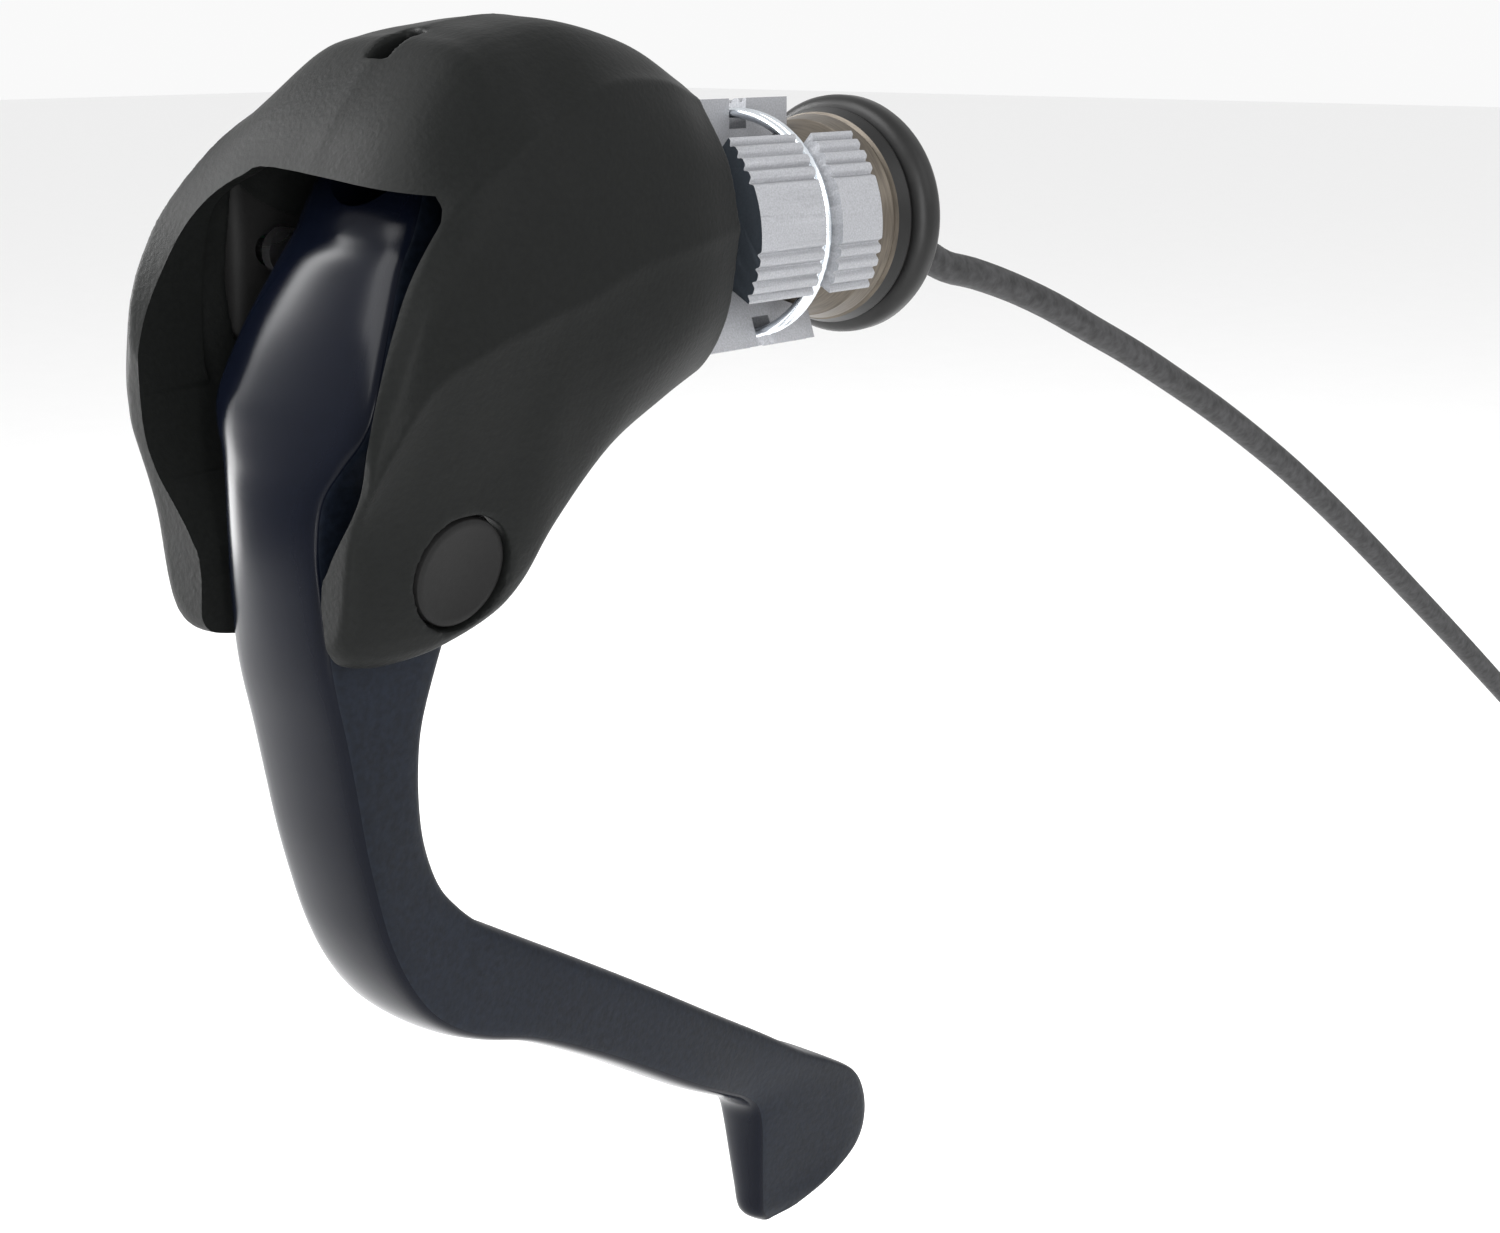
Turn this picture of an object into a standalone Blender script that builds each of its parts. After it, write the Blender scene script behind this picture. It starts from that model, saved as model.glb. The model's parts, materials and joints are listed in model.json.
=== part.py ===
"""Bar-end brake lever with shift buttons: hood, bracket, blade, clamping plug, switch pod and wire.

The origin is the centre of the hood's rear face, where it butts against the end of the handlebar.
+X runs back into the bar, +Z is up and the shift buttons face +Y.  Sizes below are in millimetres.
"""
import math

import bmesh
import bpy
from mathutils import Matrix, Vector

MM = 0.001
GAP = 0.3                       # clearance between neighbouring pieces

# ---- driving dimensions -------------------------------------------------------------------
PIVOT = (-27.5, 0.0, -19.2)     # centre of the lever's axle
HOOD_WALL = 1.7
CORE_INSET = HOOD_WALL + GAP + 0.05
EAR_ROOM = 6.2                  # half the gap between the bracket's ears
CAP_RADIUS = 3.9
CAP_DRAFT = math.radians(13)    # the ears lean in towards their foot
AXLE_RADIUS = 2.3
BUSH_OUTER = 3.4
BORE_RADIUS = 3.6               # clearance bore for the clamping bolt

ANCHOR = (-23.6, 0.0, -0.8)     # axis of the cable barrel in the lever's top
ANCHOR_RADIUS = 2.2

CONE_TAN = 0.364                # slope of both cones and of the segments' inner faces
CONE_BIG = 7.6
FRONT_CONE_X = 1.4              # where the front cone starts to taper
REAR_CONE_X = 19.2              # where the rear cone stops widening at that slope
FIN_RADIUS = 8.5
SEGMENT_RADIUS = 9.6
SEGMENT_FRONT, SEGMENT_REAR = 3.0, 17.6
SEGMENT_SPAN = math.radians(78)
SEGMENT_MIDDLES = [math.radians(9 + 120 * i) for i in range(3)]   # from -Y, upwards
RING_X, RING_RADIUS, RING_WIRE = 11.6, 8.45, 0.9
GROOVE_HALF, GROOVE_RADIUS = 1.0, 7.3
FLANGE_RADIUS = 9.6
RIBS, RIB_PITCH, RIB_DEPTH = 4, math.radians(6.5), 0.35          # at each side of a segment
SEGMENT_SLACK = 0.32            # between a segment and the cones when loose
FINS, FIN_NOTCH = 18, 0.7

STOP_MIDDLE = Vector((-12.4, 0.0, -5.9))    # cable stop, on the housing's line
HOUSING_DROP = math.radians(50)
STOP_RADIUS = 2.7

POD_X = (-28.0, -14.0)
POD_Y = (11.6, 15.6)
POD_Z = (-6.3, 6.5)
POD_SCREWS = {"pod_screw_front": -25.0, "pod_screw_rear": -19.5}
BUTTON_Z = {"shift_button_upper": (0.45, 4.9), "shift_button_lower": (-4.7, -0.25)}
BUTTON_X = (-26.2, -15.8)
WIRE_HOLE_X = -15.3

WIRE = 2.8                      # wire diameter
COIL_RADIUS = 15.0              # middle of the coil's turns
COIL_MIDDLE = (211.0, 0.0, -112.0)
COIL_SECTION = 3.6

# Hood sections from front to rear: x, top z, (y, z) of shoulder, flank, ridge, cheek and foot on the
# -Y side, bottom z, and how much higher and wider the +Y side is, over the switch pod.
HOOD_SECTIONS = [
    (-36.3, -11.0, (10.6, -11.6), (11.2, -12.4), (11.0, -13.6), (9.0, -16.5), (7.4, -22.2), -23.0, 6.0, 0.9),
    (-35.6, -6.0, (11.4, -7.4), (12.0, -9.0), (12.0, -11.0), (9.6, -15.8), (8.0, -23.4), -24.2, 5.5, 0.9),
    (-34.0, -1.4, (11.9, -2.8), (12.7, -5.0), (12.9, -8.0), (10.0, -15.4), (8.3, -23.9), -24.7, 4.2, 0.9),
    (-32.0, 2.9, (12.0, 1.4), (12.9, -1.6), (13.3, -6.0), (10.4, -14.8), (8.5, -24.0), -24.9, 3.4, 0.8),
    (-28.5, 8.4, (11.8, 4.9), (12.8, 1.4), (13.6, -4.5), (10.9, -14.0), (8.8, -23.7), -24.5, 2.0, 0.6),
    (-24.0, 13.3, (11.6, 6.9), (12.5, 2.7), (13.6, -3.2), (11.5, -12.0), (9.1, -22.4), -23.0, 0.8, 0.4),
    (-21.3, 14.8, (11.2, 8.2), (12.3, 3.4), (13.4, -2.6), (11.9, -10.8), (9.1, -20.8), -21.4, 0.5, 0.2),
    (-18.5, 15.4, (10.7, 9.2), (12.1, 4.2), (13.2, -2.0), (12.0, -9.5), (9.2, -17.6), -18.0, 0.2, 0.0),
    (-13.0, 15.8, (9.9, 11.2), (11.6, 5.6), (12.7, -0.4), (11.8, -8.0), (9.0, -12.8), -13.3, 0.0, 0.0),
    (-6.0, 14.3, (8.4, 11.3), (10.5, 6.4), (11.9, 0.6), (10.8, -6.3), (7.7, -10.8), -11.4, 0.0, 0.0),
    (0.0, 11.7, (6.9, 9.8), (10.0, 5.6), (11.2, 1.0), (9.7, -5.8), (6.8, -10.0), -10.9, 0.0, 0.0),
]
FAR_SHARES = (1.0, 0.6, 0.3, 0.0, 0.0)      # of that rise, at shoulder, flank, ridge, cheek and foot

# The front opening's outline, seen from the front: (y, z)
MOUTH = [
    (-9.3, 4.7), (3.5, 5.9), (6.4, 5.6), (8.8, 4.2), (10.2, 2.2), (11.0, -0.5), (11.5, -4.0),
    (11.5, -10.5), (10.4, -13.6), (8.4, -16.0), (6.9, -18.0), (6.1, -20.5), (6.1, -32.0),
    (-6.1, -32.0), (-6.1, -20.5), (-6.9, -18.0), (-8.2, -16.0), (-9.4, -14.2), (-10.3, -12.0),
    (-10.6, -8.0), (-10.6, 2.0), (-10.3, 3.9),
]

# The wire's route: from the switch pod, through the hollow bolt, and out behind the plug
WIRE_ROUTE = [
    (-15.3, 10.9, 0.0), (-15.0, 8.6, 0.0), (-14.2, 5.8, 0.0), (-12.4, 3.0, 0.0), (-9.8, 0.8, 0.0),
    (-6.5, 0.0, 0.0), (2.0, 0.0, 0.0), (12.0, 0.0, 0.0), (22.0, 0.0, 0.0), (28.5, 0.0, -0.1),
    (32.0, 0.0, -1.4), (35.5, 0.0, -3.6), (39.5, 0.0, -5.4), (44.0, 0.0, -6.4), (50.0, 0.0, -8.1),
    (57.0, 0.0, -10.5), (64.0, 0.0, -13.3), (72.0, 0.0, -16.5), (80.0, 0.0, -20.0),
    (89.0, 0.0, -24.1), (98.0, 0.0, -28.5), (108.0, 0.0, -33.7), (119.0, 0.0, -39.9),
    (130.0, 0.0, -46.4), (142.0, 0.0, -53.7), (154.0, 0.0, -61.0), (166.0, 0.0, -68.4),
    (178.0, 0.0, -75.9), (189.0, 0.0, -82.8), (198.0, 0.0, -88.3), (206.0, 0.0, -91.9),
]

parts = bpy.data.collections.new("brake_shift_lever")
cutters = bpy.data.collections.new("cutters")


# ---- helpers ------------------------------------------------------------------------------
def clear_scene():
    for obj in list(bpy.data.objects):
        bpy.data.objects.remove(obj, do_unlink=True)


def material(name, colour, roughness, metallic=0.0):
    mat = bpy.data.materials.new(name)
    mat.use_nodes = True
    shader = mat.node_tree.nodes["Principled BSDF"]
    shader.inputs["Base Color"].default_value = (*colour, 1.0)
    shader.inputs["Roughness"].default_value = roughness
    shader.inputs["Metallic"].default_value = metallic
    return mat


def add_object(name, mesh, collection=None):
    obj = bpy.data.objects.new(name, mesh)
    (collection or parts).objects.link(obj)
    if collection is cutters:
        obj.hide_render = True
        obj.display_type = "WIRE"
    return obj


def mesh_from(bm, name):
    bmesh.ops.recalc_face_normals(bm, faces=bm.faces)
    mesh = bpy.data.meshes.new(name)
    bm.to_mesh(mesh)
    bm.free()
    return mesh


def scale_to_metres(bm):
    bmesh.ops.scale(bm, vec=(MM, MM, MM), verts=bm.verts)


def box(name, low, high, collection=None, turn=None):
    """A box between two corners, turned about its middle where turn is a rotation matrix."""
    bm = bmesh.new()
    bmesh.ops.create_cube(bm, size=1.0)
    size = [h - l for l, h in zip(low, high)]
    middle = Vector([(h + l) / 2 for l, h in zip(low, high)])
    bmesh.ops.scale(bm, vec=size, verts=bm.verts)
    if turn is not None:
        bmesh.ops.rotate(bm, matrix=turn, verts=bm.verts)
    bmesh.ops.translate(bm, vec=middle, verts=bm.verts)
    scale_to_metres(bm)
    return add_object(name, mesh_from(bm, name), collection)


def rod(name, start, end, radius, collection=None, sides=32):
    """A cylinder from start to end."""
    start, end = Vector(start), Vector(end)
    bm = bmesh.new()
    bmesh.ops.create_cone(bm, cap_ends=True, segments=sides, radius1=radius, radius2=radius,
                          depth=(end - start).length)
    bmesh.ops.rotate(bm, matrix=(end - start).to_track_quat("Z", "Y").to_matrix(), verts=bm.verts)
    bmesh.ops.translate(bm, vec=(start + end) / 2, verts=bm.verts)
    scale_to_metres(bm)
    return add_object(name, mesh_from(bm, name), collection)


def turned(name, profile, middle=(0, 0, 0), axis="X", steps=40, collection=None):
    """A closed profile of (distance along the axis, radius) turned round the axis."""
    bm = bmesh.new()
    corners = [bm.verts.new((radius, 0.0, along)) for along, radius in profile]
    edges = [bm.edges.new((a, b)) for a, b in zip(corners, corners[1:] + corners[:1])]
    bmesh.ops.spin(bm, geom=corners + edges, cent=(0, 0, 0), axis=(0, 0, 1),
                   angle=math.tau, steps=steps, use_merge=True)
    bmesh.ops.remove_doubles(bm, verts=bm.verts, dist=1e-4)
    direction = {"X": Vector((1, 0, 0)), "Y": Vector((0, 1, 0))}[axis]
    bmesh.ops.rotate(bm, matrix=direction.to_track_quat("Z", "Y").to_matrix(), verts=bm.verts)
    bmesh.ops.translate(bm, vec=Vector(middle), verts=bm.verts)
    scale_to_metres(bm)
    return add_object(name, mesh_from(bm, name), collection)


def plate(name, outline, low, high, plane="XZ", collection=None):
    """A flat outline in the XZ or YZ plane, thickened from low to high along the third axis."""
    curve = bpy.data.curves.new(name, "CURVE")
    curve.dimensions = "2D"
    curve.fill_mode = "BOTH"
    curve.extrude = (high - low) / 2 * MM
    spline = curve.splines.new("POLY")
    spline.points.add(len(outline) - 1)
    spline.use_cyclic_u = True
    for point, (u, v) in zip(spline.points, outline):
        point.co = (u * MM, v * MM, 0.0, 1.0)
    holder = bpy.data.objects.new(name + "_outline", curve)
    bpy.context.scene.collection.objects.link(holder)
    middle = (high + low) / 2 * MM
    if plane == "XZ":
        holder.matrix_world = (Matrix.Translation((0, middle, 0))
                               @ Matrix.Rotation(math.pi / 2, 4, "X"))
    else:
        holder.matrix_world = (Matrix.Translation((middle, 0, 0))
                               @ Matrix.Rotation(math.pi / 2, 4, "Z")
                               @ Matrix.Rotation(math.pi / 2, 4, "X"))
    bpy.context.view_layer.update()
    evaluated = holder.evaluated_get(bpy.context.evaluated_depsgraph_get())
    mesh = bpy.data.meshes.new_from_object(evaluated)
    mesh.transform(holder.matrix_world)
    bpy.data.objects.remove(holder, do_unlink=True)
    bm = bmesh.new()
    bm.from_mesh(mesh)
    bmesh.ops.remove_doubles(bm, verts=bm.verts, dist=1e-6)
    bmesh.ops.dissolve_limit(bm, angle_limit=0.001, verts=bm.verts, edges=bm.edges)
    return add_object(name, mesh_from(bm, name), collection)


def mirrored(half):
    """A whole outline from its +Y half, listed from the top to the bottom."""
    return half + [(-y, z) for y, z in reversed(half) if y > 0.0]


def combine(target, operation, *tools):
    """Joins, cuts or intersects target with each tool, and applies it."""
    for tool in tools:
        modifier = target.modifiers.new(operation.lower(), "BOOLEAN")
        modifier.operation = operation
        modifier.solver = "EXACT"
        modifier.object = tool
        apply_modifiers(target)
        bpy.data.objects.remove(tool, do_unlink=True)
    return target


def apply_modifiers(obj):
    bpy.context.view_layer.update()
    evaluated = obj.evaluated_get(bpy.context.evaluated_depsgraph_get())
    mesh = bpy.data.meshes.new_from_object(evaluated)
    obj.modifiers.clear()
    obj.data = mesh


def bevel(obj, width, segments=2, angle=35):
    modifier = obj.modifiers.new("rounding", "BEVEL")
    modifier.width = width * MM
    modifier.segments = segments
    modifier.limit_method = "ANGLE"
    modifier.angle_limit = math.radians(angle)
    apply_modifiers(obj)
    return obj


def finish(obj, mat, origin=(0.0, 0.0, 0.0)):
    """Gives the piece its material, smooth round faces, and its origin on its joint's axis."""
    offset = Vector(origin) * MM
    obj.data.transform(Matrix.Translation(-offset))
    obj.location = offset
    obj.data.materials.clear()
    obj.data.materials.append(mat)
    obj.data.shade_smooth()
    obj.data.set_sharp_from_angle(angle=math.radians(35))
    return obj


def through_points(points, steps):
    """Points on a smooth curve through the given points, with steps points to each stretch."""
    points = [Vector(p) for p in points]
    ends = [2 * points[0] - points[1]] + points + [2 * points[-1] - points[-2]]
    smooth = []
    for a, b, c, d in zip(ends, ends[1:], ends[2:], ends[3:]):
        for i in range(steps):
            t = i / steps
            smooth.append(0.5 * (2 * b + (c - a) * t + (2 * a - 5 * b + 4 * c - d) * t * t
                                 + (3 * b - a - 3 * c + d) * t ** 3))
    return smooth + [points[-1]]


# ---- hood and bracket ---------------------------------------------------------------------
def hood_ring(section, inset, steps):
    """One closed section of the hood, as (y, z) points, shrunk by inset."""
    top, bottom, rise, widen = section[1], section[12], section[13], section[14]
    near = list(zip(section[2:12:2], section[3:12:2]))
    far = [(y + widen, z + rise * share) for (y, z), share in zip(near, FAR_SHARES)]
    ring = []
    for sign, side in ((1, far), (-1, near)):
        crown = (0.56 * side[0][0], top - 0.17 * (top - side[0][1]))
        half = [(0.0, top), crown, *side, (0.5 * side[-1][0], bottom), (0.0, bottom)]
        smooth = through_points([(y, z, 0) for y, z in half], steps)
        shrunk = []
        for i, point in enumerate(smooth):
            run = (smooth[min(i + 1, len(smooth) - 1)] - smooth[max(i - 1, 0)]).normalized()
            inward = point + inset * Vector((run.y, -run.x, 0.0))
            shrunk.append((sign * max(inward.x, 0.0), inward.y))
        shrunk[0], shrunk[-1] = (0.0, top - inset), (0.0, bottom + inset)
        ring += shrunk if sign > 0 else list(reversed(shrunk[1:-1]))
    return ring


def hood_loft(name, inset, front, rear, steps=2):
    """The hood's outer form, shrunk by inset, from front to rear along X."""
    flat = [[x, top, *shoulder, *flank, *ridge, *cheek, *foot, bottom, rise, widen]
            for x, top, shoulder, flank, ridge, cheek, foot, bottom, rise, widen in HOOD_SECTIONS]
    at = [row[0] for row in flat]
    stations = [front] + [x for x in at if front + 0.4 < x < rear - 0.4] + [rear]
    bm = bmesh.new()
    rings = []
    for x in stations:
        after = next(i for i in range(1, len(flat)) if x <= at[i] + 1e-9)
        share = (x - at[after - 1]) / (at[after] - at[after - 1])
        section = [a + (b - a) * share for a, b in zip(flat[after - 1], flat[after])]
        rings.append([bm.verts.new((x, y, z)) for y, z in hood_ring(section, inset, steps)])
    for one, two in zip(rings, rings[1:]):
        for a, b, c, d in zip(one, one[1:] + one[:1], two[1:] + two[:1], two):
            bm.faces.new((a, b, c, d))
    bm.faces.new(rings[0])
    bm.faces.new(rings[-1])
    scale_to_metres(bm)
    return add_object(name, mesh_from(bm, name))


def pod_room(name, deepest, margin):
    return box(name, (POD_X[0] - margin, deepest, POD_Z[0] - margin),
               (POD_X[1] + margin, 20, POD_Z[1] + margin), cutters)


def housing_direction():
    """The brake housing leaves backwards and down."""
    return Vector((math.cos(HOUSING_DROP), 0, -math.sin(HOUSING_DROP)))


def make_hood(rubber):
    hood = hood_loft("bracket_cover", 0.0, -36.3, 0.0)
    inside = hood_loft("hood_inside", HOOD_WALL, -32.5, -HOOD_WALL)
    mouth = plate("hood_mouth", MOUTH, -45, -19, "YZ", cutters)
    combine(hood, "DIFFERENCE", inside, mouth)
    combine(hood, "DIFFERENCE", rod("hood_rear_hole", (-4, 0, 0), (2, 0, 0), 8.9, cutters, 40))
    for side in (-1, 1):
        cap_hole = rod("cap_hole", (PIVOT[0], side * 6.6, PIVOT[2]), (PIVOT[0], side * 14, PIVOT[2]),
                       CAP_RADIUS + GAP, cutters)
        combine(hood, "DIFFERENCE", cap_hole)
    tilt = Matrix.Rotation(math.radians(-21), 3, "Y")
    combine(hood, "DIFFERENCE", box("top_slot", (-26, -0.8, 11), (-22, 0.8, 17), cutters, tilt))
    combine(hood, "DIFFERENCE", pod_room("hood_pod_room", 9.0, GAP))
    start = STOP_MIDDLE + 4.5 * housing_direction()
    end = STOP_MIDDLE + 14 * housing_direction()
    combine(hood, "DIFFERENCE", rod("housing_hole", start, end, 3.0, cutters))
    return finish(hood, rubber)


def make_core(alloy):
    core = hood_loft("bracket_core", CORE_INSET, -32.2, -HOOD_WALL - GAP)
    room_half = [(0, 8.5), (5.5, 8.5), (8.9, 5.5), (8.9, -10), (8.2, -13.8),
                 (EAR_ROOM, -19), (EAR_ROOM, -32), (0, -32)]
    room = plate("lever_room", mirrored(room_half), -45, -15, "YZ", cutters)
    combine(core, "DIFFERENCE", room)
    upper_half = [(0, 8.5), (5.5, 8.5), (8.9, 5.5), (8.9, -3.5), (0, -3.5)]
    combine(core, "DIFFERENCE", plate("upper_room", mirrored(upper_half), -16, -9, "YZ", cutters))
    front = [(-45, 30), (-24, 30), (-24.5, 8), (-30.5, 2), (-31.3, -12), (-32.0, -16),
             (-32.0, -32), (-45, -32)]
    combine(core, "DIFFERENCE", plate("core_front", front, -20, 20, "XZ", cutters))
    hub = rod("core_hub", (-3.5, 0, 0), (0, 0, 0), 8.6, None, 40)
    combine(core, "UNION", hub)
    combine(core, "DIFFERENCE", rod("bolt_bore", (-12, 0, 0), (2, 0, 0), BORE_RADIUS, cutters))
    combine(core, "DIFFERENCE", rod("bolt_head_room", (-12, 0, 0), (-4.2, 0, 0), 5.4, cutters))
    combine(core, "DIFFERENCE", pod_room("core_pod_room", POD_Y[0] - GAP, GAP))
    axle_bore = rod("axle_bore", (PIVOT[0], -12, PIVOT[2]), (PIVOT[0], 12, PIVOT[2]),
                    AXLE_RADIUS + GAP, cutters)
    combine(core, "DIFFERENCE", axle_bore)
    way = housing_direction()
    combine(core, "DIFFERENCE",
            rod("stop_bore", STOP_MIDDLE - 9 * way, STOP_MIDDLE + 2.8 * way,
                STOP_RADIUS + GAP, cutters),
            rod("housing_way", STOP_MIDDLE, STOP_MIDDLE + 12 * way, 2.2, cutters))
    combine(core, "DIFFERENCE", rod("wire_hole", (WIRE_HOLE_X, 6, 0), (WIRE_HOLE_X, 14, 0), 1.9, cutters))
    for x in POD_SCREWS.values():
        combine(core, "DIFFERENCE", rod("screw_bore", (x, 6, 0), (x, 14, 0), 1.1, cutters),
                rod("screw_head_room", (x, 6, 0), (x, POD_Y[0] - 1.15, 0), 2.0, cutters))
    return finish(core, alloy)


def make_caps(plastic):
    outward = Vector((0, math.cos(CAP_DRAFT), -math.sin(CAP_DRAFT)))
    for side, name in ((-1, "axle_cap_near"), (1, "axle_cap_far")):
        middle = Vector((PIVOT[0], side * 9.1, PIVOT[2]))
        way = Vector((0, side * outward.y, outward.z))
        cap = rod(name, middle - 0.55 * way, middle + 0.55 * way, CAP_RADIUS - 0.1, None, 40)
        bevel(cap, 0.2, 1)
        finish(cap, plastic)


# ---- lever --------------------------------------------------------------------------------
def make_blade(lacquer):
    front = [(-26.2, 3.3), (-27.9, 1.8), (-29.6, 0), (-31.8, -4), (-33.6, -8), (-35, -12),
             (-35.8, -15), (-35.9, -19), (-35.4, -24), (-34, -32), (-32.6, -40), (-31.5, -44),
             (-29.9, -48), (-27.6, -52), (-24.6, -55.2), (-21.5, -57.1), (-16, -59.5), (-7.7, -63.9),
             (1.5, -69.2), (8.8, -73.2), (11, -75.2), (11.8, -79), (12.2, -83)]
    tip = [(12.8, -85.6), (14.6, -86.4), (18, -85.4), (22.6, -83.4), (25, -81.2), (25.6, -78.6),
           (24.0, -75.8), (21.4, -73.4)]
    back = [(15.2, -69.7), (4.8, -63.1), (-4.6, -57.1), (-13.2, -51.7), (-21.1, -46.9),
            (-24.1, -44.1), (-25.9, -41.2), (-26.8, -37.9), (-27.0, -34), (-26.6, -30.8),
            (-24.8, -26), (-22.8, -22.5), (-21.4, -18), (-20.8, -12), (-20.6, -6), (-20.8, 0),
            (-21.4, 3.3)]
    blade = plate("lever_blade", front + tip + back, -9, 9, "XZ")
    width_half = [(0, 5), (4.4, 5), (5.2, 3), (6.1, 0), (7.2, -4), (7.9, -8), (7.45, -10),
                  (6.05, -12), (4.95, -14), (4.6, -16), (4.7, -24), (4.7, -36), (4.5, -46),
                  (4.2, -56), (3.7, -70), (3.3, -92), (0, -92)]
    combine(blade, "INTERSECT", plate("blade_width", mirrored(width_half), -45, 40, "YZ", cutters))
    bevel(blade, 0.8, 2, 50)
    pivot_bore = rod("pivot_bore", (PIVOT[0], -10, PIVOT[2]), (PIVOT[0], 10, PIVOT[2]),
                     BUSH_OUTER + GAP, cutters)
    anchor_bore = rod("anchor_bore", (ANCHOR[0], -10, ANCHOR[2]), (ANCHOR[0], 10, ANCHOR[2]),
                      ANCHOR_RADIUS + GAP, cutters, 24)
    cable_way = box("cable_way", (-23.6, -1.1, -3.0), (-19, 1.1, 1.2), cutters)
    scoop = rod("top_scoop", (-31, 0, 6.2), (-23, 0, 6.2), 4.4, cutters, 24)
    combine(blade, "DIFFERENCE", pivot_bore, anchor_bore, cable_way, scoop)
    return finish(blade, lacquer, PIVOT)


def make_lever_fittings(steel, bronze):
    for side, name in ((-1, "lever_bush_near"), (1, "lever_bush_far")):
        inner, outer = AXLE_RADIUS + GAP, BUSH_OUTER
        profile = [(0.4, outer), (4.3, outer), (4.3, inner), (0.4, inner)]
        bush = turned(name, [(side * a, r) for a, r in profile], PIVOT, "Y", 28)
        finish(bush, bronze, PIVOT)
    axle = rod("pivot_axle", (PIVOT[0], -7.4, PIVOT[2]), (PIVOT[0], 7.4, PIVOT[2]), AXLE_RADIUS)
    finish(axle, steel)
    anchor = rod("cable_anchor", (ANCHOR[0], -4.8, ANCHOR[2]), (ANCHOR[0], 4.8, ANCHOR[2]),
                 ANCHOR_RADIUS, None, 24)
    combine(anchor, "DIFFERENCE",
            rod("cable_hole", (-30, 0, ANCHOR[2]), (-18, 0, ANCHOR[2]), 0.95, cutters, 16))
    finish(anchor, steel, ANCHOR)
    spring_wire = [(0.35 * math.cos(a), 3.5 + 0.35 * math.sin(a))
                   for a in [math.tau * i / 8 for i in range(8)]]
    spring = turned("lever_spring", [(-5.4 + a, r) for a, r in spring_wire], PIVOT, "Y", 32)
    finish(spring, steel)


def make_cable_stop(steel):
    way = housing_direction()
    stop = rod("cable_stop", STOP_MIDDLE - 2.5 * way, STOP_MIDDLE + 2.5 * way,
               STOP_RADIUS, None, 28)
    combine(stop, "DIFFERENCE",
            rod("inner_way", STOP_MIDDLE - 4 * way, STOP_MIDDLE + 4 * way, 0.9, cutters, 16),
            rod("housing_seat", STOP_MIDDLE - 1 * way, STOP_MIDDLE + 4 * way, 2.05, cutters, 24))
    finish(stop, steel)


# ---- clamping plug ------------------------------------------------------------------------
def make_front_cone(plastic):
    slim_x = 10.0
    slim = CONE_BIG - CONE_TAN * (slim_x - FRONT_CONE_X)
    profile = [(GAP, FIN_RADIUS), (FRONT_CONE_X - 0.1, FIN_RADIUS), (FRONT_CONE_X, CONE_BIG),
               (slim_x, slim), (slim_x, BORE_RADIUS), (GAP, BORE_RADIUS)]
    cone = turned("front_cone", profile, steps=48)
    for i in range(FINS):
        angle = math.tau * i / FINS
        y, z = (FIN_RADIUS + 0.3) * math.cos(angle), (FIN_RADIUS + 0.3) * math.sin(angle)
        notch = rod("fin_notch", (-1, y, z), (FRONT_CONE_X - 0.05, y, z), FIN_NOTCH, cutters, 10)
        combine(cone, "DIFFERENCE", notch)
    finish(cone, plastic)


def segment_outline(middle):
    """A segment's end view: ribs along both sides, a smooth stretch between them."""
    start = middle - SEGMENT_SPAN / 2
    smooth_from = RIBS * RIB_PITCH
    smooth_to = SEGMENT_SPAN - smooth_from
    outer = []
    for first in (0.0, smooth_to):
        for rib in range(RIBS):
            at = first + rib * RIB_PITCH
            outer += [(at, SEGMENT_RADIUS), (at + 0.55 * RIB_PITCH, SEGMENT_RADIUS),
                      (at + 0.775 * RIB_PITCH, SEGMENT_RADIUS - RIB_DEPTH)]
        if first == 0.0:
            outer += [(smooth_from + share * (smooth_to - smooth_from), SEGMENT_RADIUS)
                      for share in (0.0, 0.33, 0.67)]
    outer.append((SEGMENT_SPAN, SEGMENT_RADIUS))
    inner = [(SEGMENT_SPAN * step / 6, 4.0) for step in range(6, -1, -1)]
    return [(-r * math.cos(start + a), r * math.sin(start + a)) for a, r in outer + inner]


def make_segments(blasted):
    middle_x = (SEGMENT_FRONT + SEGMENT_REAR) / 2
    end_radius = CONE_BIG - CONE_TAN * (SEGMENT_FRONT - FRONT_CONE_X) + SEGMENT_SLACK
    middle_radius = CONE_BIG - CONE_TAN * (middle_x - FRONT_CONE_X) + SEGMENT_SLACK
    hollow = [(SEGMENT_FRONT - 1, 0), (SEGMENT_FRONT - 1, end_radius + CONE_TAN),
              (middle_x, middle_radius), (SEGMENT_REAR + 1, end_radius + CONE_TAN),
              (SEGMENT_REAR + 1, 0)]
    groove = [(RING_X - GROOVE_HALF, GROOVE_RADIUS), (RING_X - GROOVE_HALF, 12),
              (RING_X + GROOVE_HALF, 12), (RING_X + GROOVE_HALF, GROOVE_RADIUS)]
    for i, middle in enumerate(SEGMENT_MIDDLES):
        segment = plate(f"clamp_segment_{i + 1}", segment_outline(middle),
                        SEGMENT_FRONT, SEGMENT_REAR, "YZ")
        combine(segment, "DIFFERENCE", turned("hollow", hollow, collection=cutters),
                turned("groove", groove, collection=cutters))
        finish(segment, blasted)


def make_ring(zinc):
    wire = RING_WIRE / 2
    section = [(wire * math.cos(a), RING_RADIUS + wire * math.sin(a))
               for a in [math.tau * i / 8 for i in range(8)]]
    finish(turned("clamp_ring", [(RING_X + a, r) for a, r in section], steps=40), zinc)


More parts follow.
